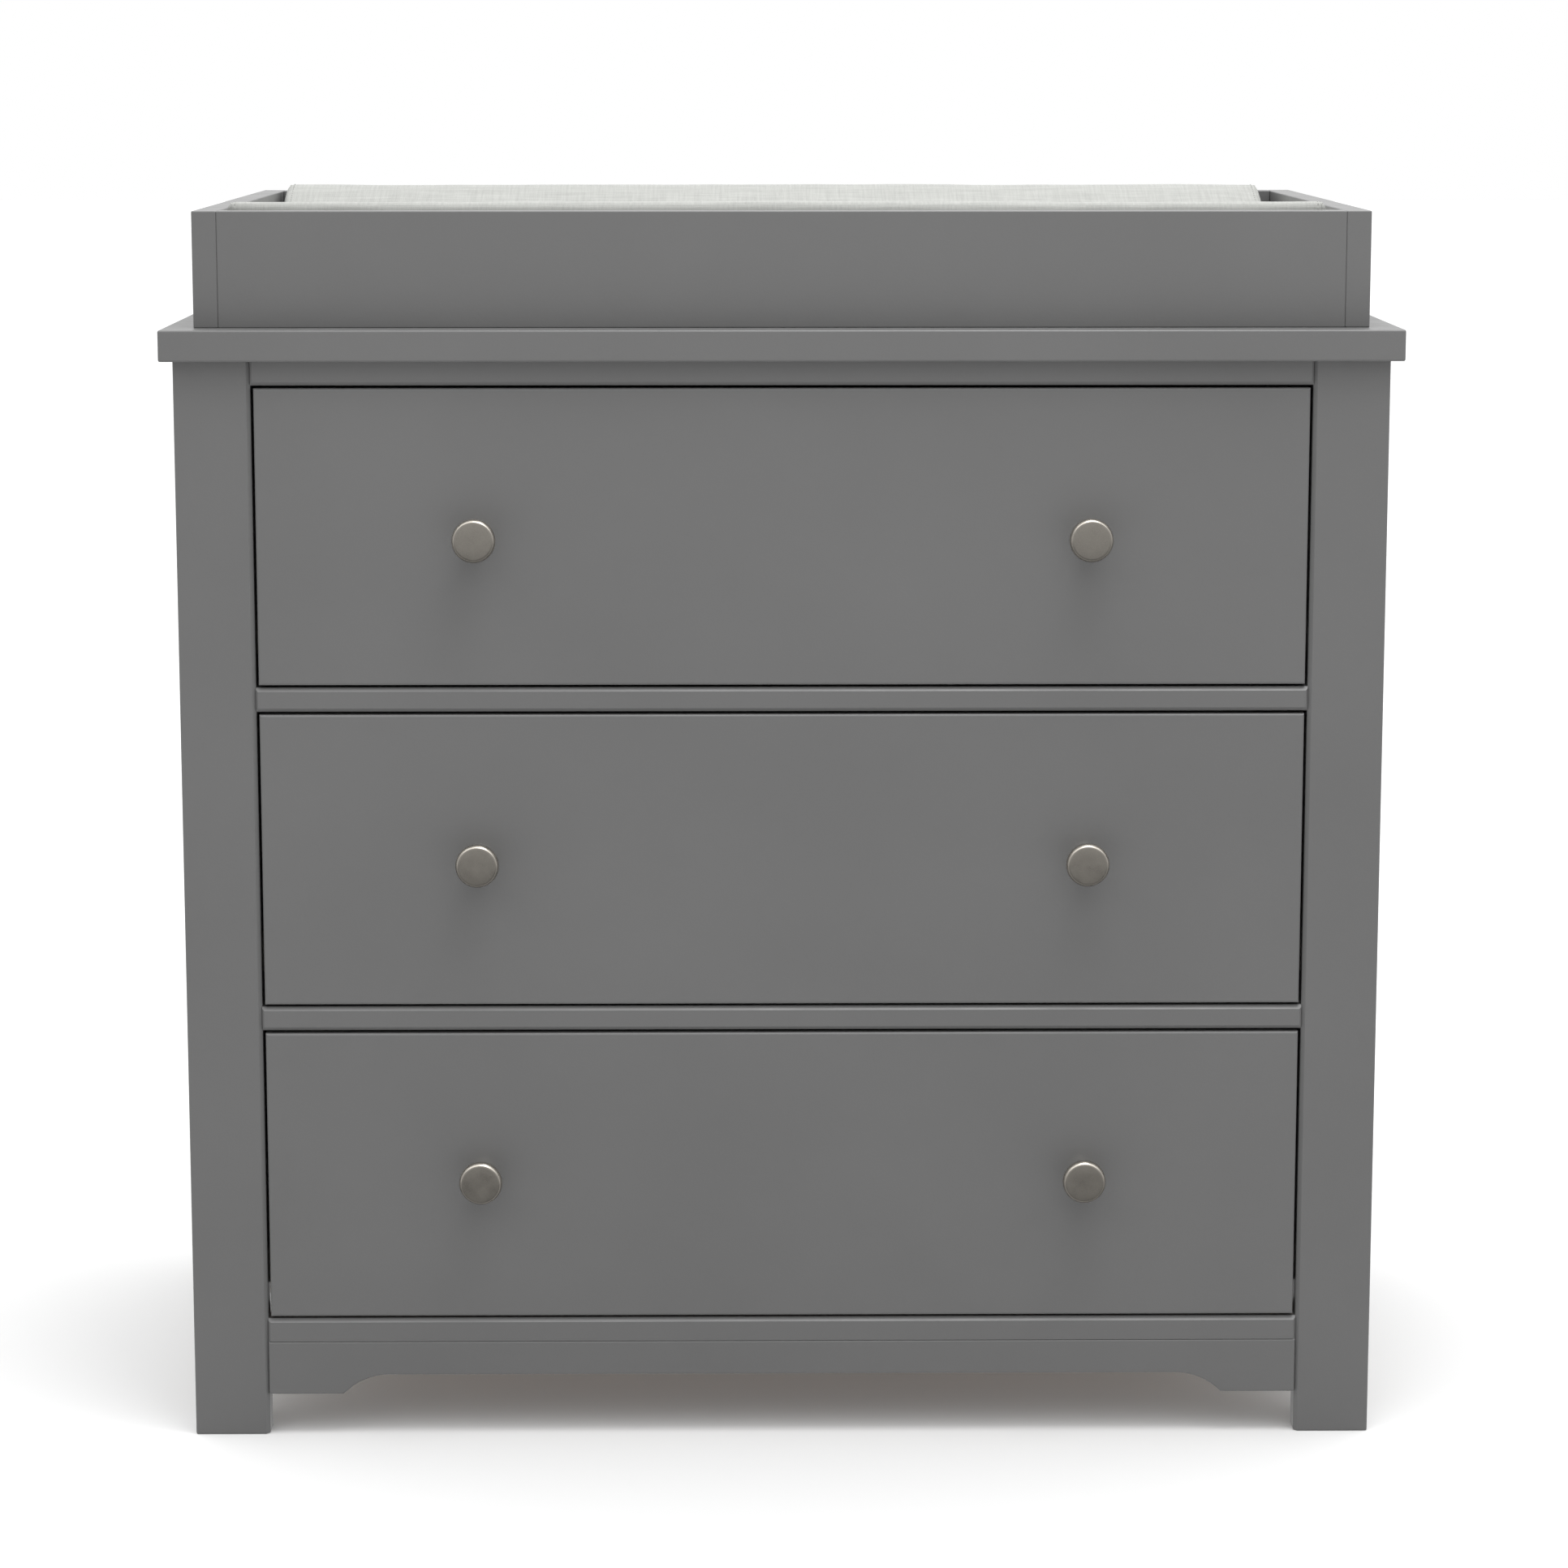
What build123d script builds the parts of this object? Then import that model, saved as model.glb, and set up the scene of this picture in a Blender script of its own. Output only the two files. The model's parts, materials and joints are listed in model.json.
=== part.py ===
from build123d import *
import os

# Changing table: a three-drawer chest with an open tray on its top and a contoured pad in the tray.
# Millimetres, +Z up, front towards -Y. The origin is on the floor under the middle of the whole
# object's box, which runs from the knobs' faces to the rear edge of the top board.

# ---- driving dimensions ----
board_t = 18.0                                  # painted boards
half_width, leg_width = 444.0, 56.0             # centre line to a leg's outer face, leg seen from the front
post_t, post_w = 38.0, 56.0                     # rear legs
stile_w, side_rail_h = 38.0, 56.0
case_depth = 462.0
under_top, plinth_z = 813.5, 72.5               # heights of the case's top and bottom
rail_depth = 45.0
edge_chamfer = 2.8                              # along the drawer openings
seam_chamfer, end_chamfer = 0.5, 1.6            # where a rail meets the apron or the top, and a leg
divider_z = (313.5, 554.5)                      # undersides of the two divider rails

top_length, top_depth, top_t, top_overhang = 906.0, 482.0, 23.0, 10.0

apron_end_z, apron_arch_z = 31.5, 46.5
apron_tab, apron_sweep = 56.0, 35.0

panel_t, back_t, panel_groove = 6.0, 3.0, 8.0

front_gap, front_side_gap = 2.0, 2.25           # round an inset drawer front
box_t, box_height, box_length, box_lift = 12.0, 170.0, 400.0, 18.0
bottom_t, bottom_lift, bottom_groove = 3.0, 10.0, 6.0

knob_x, knob_r, knob_reach = 225.0, 16.0, 25.0
screw_r, screw_clear_r = 2.0, 2.25

runner_gap, runner_length, steel_t = 12.7, 400.0, 1.2
roller_r, roller_w, roller_z = 10.0, 7.8, 11.5  # roller_z: axle above the base of the channel
pin_r, pin_bore_r, pin_head_r = 3.0, 3.05, 4.5
front_roller_back, rear_roller_back = 13.0, 383.0   # axles behind the front end of the runner

tray_length, tray_depth, tray_height, tray_setback = 860.0, 447.0, 85.0, 24.6

pad_length, pad_depth, pad_height, pad_valley = 813.0, 406.0, 91.0, 50.0
pad_shift, pad_gap = -3.5, 0.3                  # pad lies a little to the left, just clear of the board
pad_ridge, pad_slope_run = 9.0, 97.0

# ---- planes worked out from them ----
leg_inner = half_width - leg_width
skin_inner = half_width - board_t
front_y = knob_reach - (top_depth - top_overhang + knob_reach) / 2
behind_front = front_y + board_t
back_y = front_y + case_depth
board_front = front_y - top_overhang
board_back = board_front + top_depth
tray_base = under_top + top_t
tray_front = board_front + tray_setback
box_half = leg_inner - runner_gap
runner_front = behind_front + 2.0
opening_z = (plinth_z + board_t, divider_z[0] + board_t, divider_z[1] + board_t)
opening_height = divider_z[0] - opening_z[0]
drawer_names = ("bottom", "middle", "top")


def block(x, y, z):
    """A box from its (low, high) pair on each axis."""
    centre = [(low + high) / 2 for low, high in (x, y, z)]
    return Pos(*centre) * Box(x[1] - x[0], y[1] - y[0], z[1] - z[0])


def mirrored(shape):
    return mirror(shape, about=Plane.YZ)


def eased(shape, radius, edges=None):
    return fillet(edges if edges is not None else shape.edges(), radius)


def front_eased(shape, radius):
    return fillet(shape.faces().sort_by(Axis.Y)[0].edges(), radius)


def front_edges(shape, axis, order):
    """Edges of the front face that run along one axis, in their order along another."""
    return shape.faces().sort_by(Axis.Y)[0].edges().filter_by(axis).sort_by(order)


def rod_x(radius, x, y, z):
    """A cylinder along X between the two x values."""
    return Pos((x[0] + x[1]) / 2, y, z) * Rot(0, 90, 0) * Cylinder(radius, abs(x[1] - x[0]))


def rod_y(radius, x, y, z):
    return Pos(x, (y[0] + y[1]) / 2, z) * Rot(90, 0, 0) * Cylinder(radius, abs(y[1] - y[0]))


def rod_z(radius, x, y, z):
    return Pos(x, y, (z[0] + z[1]) / 2) * Cylinder(radius, abs(z[1] - z[0]))


def save(node, *shapes):
    solids = [solid for shape in shapes for solid in shape.solids()]
    export_step(Compound(solids) if len(solids) > 1 else solids[0], f"parts/{node}.step")


# ---- side frames: an L-shaped leg at the front, a post behind, rails and a recessed panel ----
side_y = (behind_front, back_y)
post_y = (back_y - post_w, back_y)
stile_y = (behind_front, behind_front + stile_w)
rail_y = (stile_y[1], post_y[0])
top_rail_z = (under_top - side_rail_h, under_top)
low_rail_z = (plinth_z, plinth_z + side_rail_h)
panel_x = (half_width - board_t / 2 - panel_t / 2, half_width - board_t / 2 + panel_t / 2)
side_panel = block(panel_x, (rail_y[0] - panel_groove, rail_y[1] + panel_groove),
                   (low_rail_z[1] - panel_groove, top_rail_z[0] + panel_groove))
back_panel_y = (back_y - board_t / 2 - back_t / 2, back_y - board_t / 2 + back_t / 2)
post_inner = half_width - post_t
back_panel = block((-post_inner - panel_groove, post_inner + panel_groove), back_panel_y,
                   (low_rail_z[1] - panel_groove, top_rail_z[0] + panel_groove))


def side_frame():
    """Right-hand pieces by name; the left ones are their mirror images."""
    leg = block((leg_inner, half_width), (front_y, behind_front), (0, under_top))
    leg = chamfer(front_edges(leg, Axis.Z, Axis.X)[0], edge_chamfer)
    leg = eased(leg, 1.5, front_edges(leg, Axis.Z, Axis.X)[-1:] + leg.faces().sort_by(Axis.Z)[0].edges())
    stile = eased(block((skin_inner, half_width), stile_y, (0, under_top)), 1.0) - side_panel
    post = eased(block((post_inner, half_width), post_y, (0, under_top)), 1.5) - side_panel - back_panel
    rails = [eased(block((skin_inner, half_width), rail_y, z), 1.0) - side_panel
             for z in (top_rail_z, low_rail_z)]
    return {"front_leg": [leg], "side_stile": [stile], "rear_leg": [post],
            "side_rails": rails, "side_panel": [side_panel]}


# ---- front rails, apron and rear frame ----
def front_rail(z, chamfered):
    """Rail between the legs, with a chamfer along each edge that borders a drawer: 0 low, -1 high."""
    rail = block((-leg_inner, leg_inner), (front_y, front_y + rail_depth), z)
    for which in (0, -1):
        edge = front_edges(rail, Axis.X, Axis.Z)[which]
        rail = chamfer(edge, edge_chamfer if which in chamfered else seam_chamfer)
    return chamfer(front_edges(rail, Axis.Z, Axis.X), end_chamfer)


def front_apron():
    """Board under the bottom rail, cut to a shallow arch between two short tabs."""
    tab_x, flat_x = leg_inner - apron_tab, leg_inner - apron_tab - apron_sweep
    right = [(leg_inner, plinth_z), (leg_inner, apron_end_z), (tab_x, apron_end_z)]
    top_and_left = Polyline(*[(-x, z) for x, z in reversed(right)], right[0])
    right_end = Polyline(*right)
    arch = Line((-flat_x, apron_arch_z), (flat_x, apron_arch_z))
    right_sweep = TangentArc((flat_x, apron_arch_z), (tab_x, apron_end_z), tangent=(1, 0))
    left_sweep = TangentArc((-flat_x, apron_arch_z), (-tab_x, apron_end_z), tangent=(-1, 0))
    face = make_face([top_and_left, right_end, right_sweep, arch, left_sweep])
    board = extrude(Plane.XZ.offset(-front_y) * face, amount=-board_t)
    return front_eased(board, 1.2)


def rear_rails():
    return [eased(block((-post_inner, post_inner), (back_y - board_t, back_y), z), 1.0) - back_panel
            for z in (top_rail_z, low_rail_z)]


# ---- top board and tray ----
tray_y = (tray_front, tray_front + tray_depth)
tray_z = (tray_base, tray_base + tray_height)
tray_half = tray_length / 2
tray_wall_x = tray_half - board_t / 2
tray_screw_y = (-120.0, 10.0, 140.0)
tray_screw_length, tray_screw_head = 50.0, 3.0


def tray_screw_holes(radius, z):
    return [rod_z(radius, side * tray_wall_x, y, z) for side in (-1, 1) for y in tray_screw_y]


def top_board():
    board = eased(block((-top_length / 2, top_length / 2), (board_front, board_back),
                        (under_top, tray_base)), 1.5)
    return board - tray_screw_holes(screw_clear_r, (under_top - 1, tray_base + 1))


def tray_pieces():
    pilot = tray_screw_holes(screw_r, (tray_base - 1, under_top + tray_screw_length))
    wall = eased(block((tray_half - board_t, tray_half), tray_y, tray_z), 0.9)
    inner = (-tray_half + board_t, tray_half - board_t)
    front = eased(block(inner, (tray_y[0], tray_y[0] + board_t), tray_z), 0.9)
    rear = eased(block(inner, (tray_y[1] - board_t, tray_y[1]), tray_z), 0.9)
    return {"tray_right_side": wall - pilot, "tray_left_side": mirrored(wall) - pilot,
            "tray_front_rail": front, "tray_rear_rail": rear}


def tray_screws():
    screws = []
    for side in (-1, 1):
        for y in tray_screw_y:
            shank = rod_z(screw_r, side * tray_wall_x, y, (under_top, under_top + tray_screw_length))
            head = rod_z(3.8, side * tray_wall_x, y, (under_top - tray_screw_head, under_top))
            screws.append(shank + eased(head, 1.2, head.edges().sort_by(Axis.Z)[:1]))
    return screws


# ---- anti-tip bracket: a Z of steel strip from the rear top rail out to the wall plane ----
bracket_half, bracket_t = 40.0, 1.5
bracket_hole_x, bracket_hole_r = 25.0, 2.5
bracket_fix_z, bracket_step_z, bracket_wall_z = 792.0, 778.0, 764.0
bracket_low_z, bracket_high_z = 752.0, 802.0


def wall_bracket():
    x = (-bracket_half, bracket_half)
    fixed = block(x, (back_y, back_y + bracket_t), (bracket_step_z, bracket_high_z))
    step = block(x, (back_y, board_back), (bracket_step_z, bracket_step_z + bracket_t))
    wall = block(x, (board_back - bracket_t, board_back), (bracket_low_z, bracket_step_z + bracket_t))
    holes = []
    for side in (-1, 1):
        holes.append(rod_y(screw_clear_r, side * bracket_hole_x, (back_y - 1, back_y + 3), bracket_fix_z))
        holes.append(rod_y(bracket_hole_r, side * bracket_hole_x, (board_back - 4, board_back + 1),
                           bracket_wall_z))
    return fixed + step + wall - holes


def bracket_screws(radius, reach):
    """Two screws through the bracket into the rear rail; reach is their depth in the wood."""
    screws = []
    for side in (-1, 1):
        shank = rod_y(radius, side * bracket_hole_x, (back_y - reach, back_y + bracket_t), bracket_fix_z)
        head = rod_y(3.8, side * bracket_hole_x, (back_y + bracket_t, back_y + bracket_t + 2.5),
                     bracket_fix_z)
        screws.append(shank + eased(head, 1.2, head.edges().sort_by(Axis.Y)[-1:]))
    return screws


# ---- runners: w is height above the base of a channel, u is distance in from the leg's inner face ----
def runner_block(u, y, w, base):
    return block((leg_inner - u[1], leg_inner - u[0]), y, (base + w[0], base + w[1]))


def cabinet_runner(base):
    """C channel on the batten, with the front roller's axle riveted to its web."""
    y = (runner_front, runner_front + runner_length)
    channel = (runner_block((0, steel_t), y, (0, 25.2), base)
               + runner_block((0, 10.8), y, (0, steel_t), base)
               + runner_block((0, 10.8), y, (24.0, 25.2), base))
    axle_y, axle_z = runner_front + front_roller_back, base + roller_z
    axle = rod_x(pin_r, (leg_inner - 10.3, leg_inner - steel_t), axle_y, axle_z)
    head = rod_x(pin_head_r, (leg_inner - 11.1, leg_inner - 10.3), axle_y, axle_z)
    return channel + axle + head


def drawer_runner(base):
    """Z member on the drawer side: flange over the roller, plate, and a lip under the side."""
    y = (runner_front, runner_front + rear_roller_back + 8.0)
    member = (runner_block((1.9, runner_gap), y, (21.8, 23.0), base)
              + runner_block((runner_gap - steel_t, runner_gap), y, (-6.0, 23.0), base)
              + runner_block((runner_gap - steel_t, runner_gap + box_t), y, (-6.0, -4.8), base))
    axle_y, axle_z = runner_front + rear_roller_back, base + roller_z
    axle = rod_x(pin_r, (leg_inner - runner_gap + steel_t, leg_inner - 2.8), axle_y, axle_z)
    head = rod_x(pin_head_r, (leg_inner - 2.8, leg_inner - 2.0), axle_y, axle_z)
    return member + axle + head


def roller(u, behind, base):
    y, z = runner_front + behind, base + roller_z
    x = (leg_inner - u[1], leg_inner - u[0])
    wheel = rod_x(roller_r, x, y, z)
    wheel = eased(wheel, 0.8, wheel.edges().filter_by(GeomType.CIRCLE))
    return wheel - rod_x(pin_bore_r, (x[0] - 1, x[1] + 1), y, z)


def packing_batten(base):
    return block((leg_inner, skin_inner), (behind_front, rail_y[1]), (base - 8.0, base + 34.0))


# ---- drawers ----
def drawer_holes(radius, z, y):
    return [rod_y(radius, side * knob_x, y, z) for side in (-1, 1)]


def knob(side, z):
    """Round knob: a waisted stem that flares to a disc with a bevelled rim and a nearly flat face."""
    face_r = 14.3
    base = Polyline((0, 0), (7.5, 0), (7.5, 1.5))
    waist = ThreePointArc((7.5, 1.5), (7.6, 10.0), (knob_r, 18.0))
    rim = Line((knob_r, 18.0), (knob_r, 21.8))
    bevel = TangentArc((knob_r, 21.8), (face_r, knob_reach - 0.3), tangent=(0, 1))
    dome = Spline((face_r, knob_reach - 0.3), (0, knob_reach), tangents=((-1, 0.05), (-1, 0)))
    middle = Line((0, knob_reach), (0, 0))
    section = Plane.XZ * make_face([base, waist, rim, bevel, dome, middle])
    body = revolve(section, Axis.Z)
    placed = Pos(side * knob_x, front_y, z) * Rot(90, 0, 0) * body
    return placed - rod_y(screw_r, side * knob_x, (front_y + 1, front_y - 12), z)


def knob_screw(side, z):
    shank = rod_y(screw_r, side * knob_x, (behind_front, front_y - 10), z)
    head = rod_y(4.0, side * knob_x, (behind_front, behind_front + 2.5), z)
    return shank + eased(head, 1.2, head.edges().sort_by(Axis.Y)[-1:])


def drawer(base_z):
    """One drawer's pieces by name, for the opening whose floor is at base_z."""
    front_z = (base_z + front_gap, base_z + opening_height - front_gap)
    knob_z = sum(front_z) / 2
    box_z = (base_z + box_lift, base_z + box_lift + box_height)
    side_y = (behind_front, behind_front + box_length)
    inner_half = box_half - box_t
    floor_z = (box_z[0] + bottom_lift, box_z[0] + bottom_lift + bottom_t)
    floor = block((-inner_half - bottom_groove, inner_half + bottom_groove),
                  (side_y[0] - bottom_groove, side_y[1] - box_t + bottom_groove), floor_z)
    front_x = leg_inner - front_side_gap
    front = front_eased(block((-front_x, front_x), (front_y, behind_front), front_z), 1.8)
    front = front - floor - drawer_holes(screw_clear_r, knob_z, (front_y - 1, behind_front + 1))
    side = block((inner_half, box_half), side_y, box_z)
    top_edges = side.edges().filter_by(Axis.Y).sort_by(Axis.Z)[-2:]
    side = fillet(top_edges, 2.0) - floor
    back = block((-inner_half, inner_half), (side_y[1] - box_t, side_y[1]), box_z)
    back = fillet(back.edges().filter_by(Axis.X).sort_by(Axis.Z)[-2:], 2.0) - floor
    channel_z = base_z + box_lift + 4.8
    member = drawer_runner(channel_z)
    return {"front": [front], "right_side": [side], "left_side": [mirrored(side)], "back": [back],
            "floor": [floor],
            "knobs": [knob(side, knob_z) for side in (-1, 1)],
            "knob_screws": [knob_screw(side, knob_z) for side in (-1, 1)],
            "runner_members": [member, mirrored(member)]}


# ---- changing pad: raised along the front and the rear, lower in the middle ----
def changing_pad():
    middle_y = tray_front + tray_depth / 2
    half, base = pad_depth / 2, tray_base + pad_gap
    ridge_y, foot_y = half - pad_ridge, half - pad_ridge - pad_slope_run
    outline = [(-half, 0), (half, 0), (half, pad_height), (ridge_y, pad_height), (foot_y, pad_valley),
               (-foot_y, pad_valley), (-ridge_y, pad_height), (-half, pad_height)]
    section = make_face(Polyline(*outline, close=True))
    solid = extrude(Plane.YZ * section, amount=pad_length / 2, both=True)
    solid = Pos(pad_shift, middle_y, base) * solid
    feet = solid.edges().filter_by(Axis.X).group_by(Axis.Z)[1]
    solid = fillet(feet, 60.0)
    ridges = solid.edges().filter_by(Axis.X).group_by(Axis.Z)[-1]
    return fillet(ridges, 4.0)


# ---- write every piece ----
os.makedirs("parts", exist_ok=True)

for name, solids in side_frame().items():
    save(f"right_{name}", *solids)
    save(f"left_{name}", *[mirrored(solid) for solid in solids])

save("top_front_rail", front_rail((under_top - board_t, under_top), (0,)))
save("upper_divider_rail", front_rail((divider_z[1], divider_z[1] + board_t), (0, -1)))
save("lower_divider_rail", front_rail((divider_z[0], divider_z[0] + board_t), (0, -1)))
save("bottom_front_rail", front_rail((plinth_z, plinth_z + board_t), (-1,)))
save("front_apron", front_apron())
save("rear_rails", *[rail - bracket_screws(screw_r, 14.0) for rail in rear_rails()])
save("back_panel", back_panel)

save("top_board", top_board())
for name, piece in tray_pieces().items():
    save(name, piece)
save("tray_screws", *tray_screws())
save("wall_bracket", wall_bracket())
save("wall_bracket_screws", *bracket_screws(screw_r, 14.0))

battens = []
for name, base_z in zip(drawer_names, opening_z):
    channel_z = base_z + box_lift + 4.8
    for piece, solids in drawer(base_z).items():
        save(f"{name}_drawer_{piece}", *solids)
    channel = cabinet_runner(channel_z)
    save(f"{name}_cabinet_runners", channel, mirrored(channel))
    front_roller = roller((2.2, 2.2 + roller_w), front_roller_back, channel_z)
    rear_roller = roller((3.0, 3.0 + roller_w), rear_roller_back, channel_z)
    save(f"{name}_front_rollers", front_roller, mirrored(front_roller))
    save(f"{name}_rear_rollers", rear_roller, mirrored(rear_roller))
    batten = packing_batten(channel_z)
    battens += [batten, mirrored(batten)]
save("packing_battens", *battens)

save("changing_pad", changing_pad())
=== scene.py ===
import json
import math

import bmesh
import bpy
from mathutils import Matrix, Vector, noise


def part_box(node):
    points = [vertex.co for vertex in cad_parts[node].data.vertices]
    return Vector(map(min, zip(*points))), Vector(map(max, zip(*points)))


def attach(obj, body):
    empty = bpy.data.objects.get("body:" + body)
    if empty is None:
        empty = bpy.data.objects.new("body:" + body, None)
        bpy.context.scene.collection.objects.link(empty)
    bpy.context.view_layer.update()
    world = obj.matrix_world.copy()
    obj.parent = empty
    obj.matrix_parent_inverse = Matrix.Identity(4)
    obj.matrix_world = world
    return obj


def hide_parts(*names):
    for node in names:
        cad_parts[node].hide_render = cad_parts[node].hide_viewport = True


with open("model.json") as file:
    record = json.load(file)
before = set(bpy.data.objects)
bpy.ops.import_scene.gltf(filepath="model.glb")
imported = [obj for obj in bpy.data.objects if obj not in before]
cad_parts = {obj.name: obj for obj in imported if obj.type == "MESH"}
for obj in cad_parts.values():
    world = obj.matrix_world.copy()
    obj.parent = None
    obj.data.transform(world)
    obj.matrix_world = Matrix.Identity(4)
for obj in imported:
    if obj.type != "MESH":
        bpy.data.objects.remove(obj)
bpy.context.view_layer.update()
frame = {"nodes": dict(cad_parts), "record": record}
nodes = frame["nodes"]
drawers = ("bottom", "middle", "top")
slots = {row["node"]: row["material_slot"] for row in frame["record"]["subparts"]}
print("frame loaded:", len(nodes), "nodes")


# camera: stands a little left of the middle and looks down at the pad and the drawer fronts
cameraSettings = {
    "leftOfMiddle": 0.0277,
    "beforeBoard": 2.8665,  # from the front edge of the top board
    "height": 1.035,
    "tiltDown": 8.486,  # degrees
    "turnRight": 0.524,
    "lens": 90.73,
    "shiftX": 0.0022,
    "shiftY": -0.09,
}


def placeCamera(s):
    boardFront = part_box("top_board")[0].y
    data = bpy.data.cameras.new("tableCamera")
    data.lens = s["lens"]
    data.shift_x = s["shiftX"]
    data.shift_y = s["shiftY"]
    data.clip_end = 60
    camera = bpy.data.objects.new("tableCamera", data)
    camera.location = (-s["leftOfMiddle"], boardFront - s["beforeBoard"], s["height"])
    camera.rotation_euler = (math.radians(90 - s["tiltDown"]), 0, math.radians(-s["turnRight"]))
    bpy.context.scene.collection.objects.link(camera)
    bpy.context.scene.camera = camera


placeCamera(cameraSettings)


# small helpers for node trees
def addNode(tree, kind, settings=None, inputs=None):
    node = tree.nodes.new(kind)
    for name, value in (settings or {}).items():
        setattr(node, name, value)
    for name, value in (inputs or {}).items():
        node.inputs[name].default_value = value
    return node


def wire(tree, source, target):
    tree.links.new(source, target)


def newMaterial(name, **sockets):
    material = bpy.data.materials.new(name)
    material.use_nodes = True
    shader = material.node_tree.nodes["Principled BSDF"]
    for socket, value in sockets.items():
        shader.inputs[socket.replace("_", " ")].default_value = value
    return material, material.node_tree, shader


def objectPoint(tree, scale=(1, 1, 1)):
    place = addNode(tree, "ShaderNodeTexCoord")
    mapping = addNode(tree, "ShaderNodeMapping", inputs={"Scale": scale})
    wire(tree, place.outputs["Object"], mapping.inputs["Vector"])
    return mapping.outputs["Vector"]


def noiseOf(tree, point, scale, detail=3.0, roughness=0.5):
    texture = addNode(tree, "ShaderNodeTexNoise", inputs={
        "Scale": scale, "Detail": detail, "Roughness": roughness})
    wire(tree, point, texture.inputs["Vector"])
    return texture.outputs["Fac"]


def ramp(tree, source, stops):
    node = addNode(tree, "ShaderNodeValToRGB")
    elements = node.color_ramp.elements
    while len(elements) < len(stops):
        elements.new(0.5)
    for element, (position, colour) in zip(elements, stops):
        element.position = position
        element.color = (*colour, 1)
    wire(tree, source, node.inputs["Fac"])
    return node.outputs["Color"]


def remap(tree, source, low, high, fromLow=0.3, fromHigh=0.7):
    node = addNode(tree, "ShaderNodeMapRange", inputs={
        "From Min": fromLow, "From Max": fromHigh, "To Min": low, "To Max": high})
    wire(tree, source, node.inputs["Value"])
    return node.outputs["Result"]


def maths(tree, operation, first, second=None):
    node = addNode(tree, "ShaderNodeMath", {"operation": operation})
    for socket, value in zip(node.inputs, (first, second)):
        if value is None:
            continue
        if isinstance(value, (int, float)):
            socket.default_value = value
        else:
            wire(tree, value, socket)
    return node.outputs[0]


# the sum of several values, each times its share
def blendOf(tree, *parts):
    total = None
    for source, share in parts:
        scaled = maths(tree, "MULTIPLY", source, share)
        total = scaled if total is None else maths(tree, "ADD", total, scaled)
    return total


def addBump(tree, shader, height, distance, strength=1.0, under=None):
    bump = addNode(tree, "ShaderNodeBump", inputs={"Distance": distance, "Strength": strength})
    wire(tree, height, bump.inputs["Height"])
    if under is not None:
        wire(tree, under, bump.inputs["Normal"])
    wire(tree, bump.outputs["Normal"], shader.inputs["Normal"])
    return bump.outputs["Normal"]


def shade(amount, colour):
    return tuple(amount * c for c in colour)


# satin grey paint on smooth board, with the faint stipple that a roller leaves
paintSettings = {
    "colour": (0.137, 0.137, 0.1365),
    "variation": 0.03,
    "roughness": (0.36, 0.44),
    "cloudScale": 5.0,
    "patchScale": 34.0,
    "waveScale": 28.0,
    "waveHeight": 0.0004,
    "waveStrength": 0.25,
    "stippleScale": 620.0,
    "stippleHeight": 0.00006,
    "stippleStrength": 0.8,
}


def satinPaint(s):
    material, tree, shader = newMaterial("satinPaint", IOR=1.5)
    point = objectPoint(tree)
    cloudy = noiseOf(tree, point, s["cloudScale"], 4.0)
    dark, light = shade(1 - s["variation"], s["colour"]), shade(1 + s["variation"], s["colour"])
    colour = ramp(tree, cloudy, [(0.3, dark), (0.7, light)])
    wire(tree, colour, shader.inputs["Base Color"])
    patchy = noiseOf(tree, point, s["patchScale"], 5.0)
    wire(tree, remap(tree, patchy, *s["roughness"]), shader.inputs["Roughness"])
    stipple = noiseOf(tree, point, s["stippleScale"], 2.0)
    waves = noiseOf(tree, point, s["waveScale"], 2.0)
    lower = addBump(tree, shader, waves, s["waveHeight"], s["waveStrength"])
    addBump(tree, shader, stipple, s["stippleHeight"], s["stippleStrength"], under=lower)
    return material


# clear-lacquered pale wood: growth rings stretched along the board, pores and lacquer on top
woodSettings = {
    "early": (0.60, 0.43, 0.25),
    "late": (0.48, 0.31, 0.165),
    "stretch": 14.0,  # how much longer the figure is along the board than across it
    "ringScale": 26.0,
    "ringDistortion": 7.0,
    "ringShare": 0.55,
    "fibreScale": 420.0,
    "fibreShare": 0.35,
    "swayScale": 9.0,
    "swayShare": 0.25,
    "roughness": (0.38, 0.56),
    "poreDepth": 0.0001,
    "poreStrength": 0.6,
}


def paleWood(name, s, along):
    material, tree, shader = newMaterial(name, IOR=1.48)
    scale = [1.0, 1.0, 1.0]
    scale[along] = 1 / s["stretch"]
    point = objectPoint(tree, tuple(scale))
    sway = noiseOf(tree, point, s["swayScale"])
    rings = addNode(tree, "ShaderNodeTexWave", {"wave_type": "BANDS", "bands_direction": "DIAGONAL"},
                    {"Scale": s["ringScale"], "Distortion": s["ringDistortion"], "Detail": 3.0,
                     "Detail Scale": 1.2})
    wire(tree, point, rings.inputs["Vector"])
    fibre = noiseOf(tree, point, s["fibreScale"], 4.0, 0.7)
    grain = blendOf(tree, (rings.outputs["Fac"], s["ringShare"]), (fibre, s["fibreShare"]),
                    (sway, s["swayShare"]))
    colour = ramp(tree, grain, [(0.25, s["early"]), (0.85, s["late"])])
    wire(tree, colour, shader.inputs["Base Color"])
    wire(tree, remap(tree, fibre, *s["roughness"]), shader.inputs["Roughness"])
    addBump(tree, shader, fibre, s["poreDepth"], s["poreStrength"])
    return material


# pressed-fibre board: short fibres in three browns
fibreSettings = {
    "dark": (0.17, 0.095, 0.05),
    "middle": (0.27, 0.16, 0.085),
    "light": (0.36, 0.225, 0.13),
    "fibreScale": 260.0,
    "fibreHeight": 0.00012,
    "fibreStrength": 0.7,
    "blotchScale": 12.0,
    "blotch": 0.10,
    "roughness": (0.5, 0.72),
}


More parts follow.
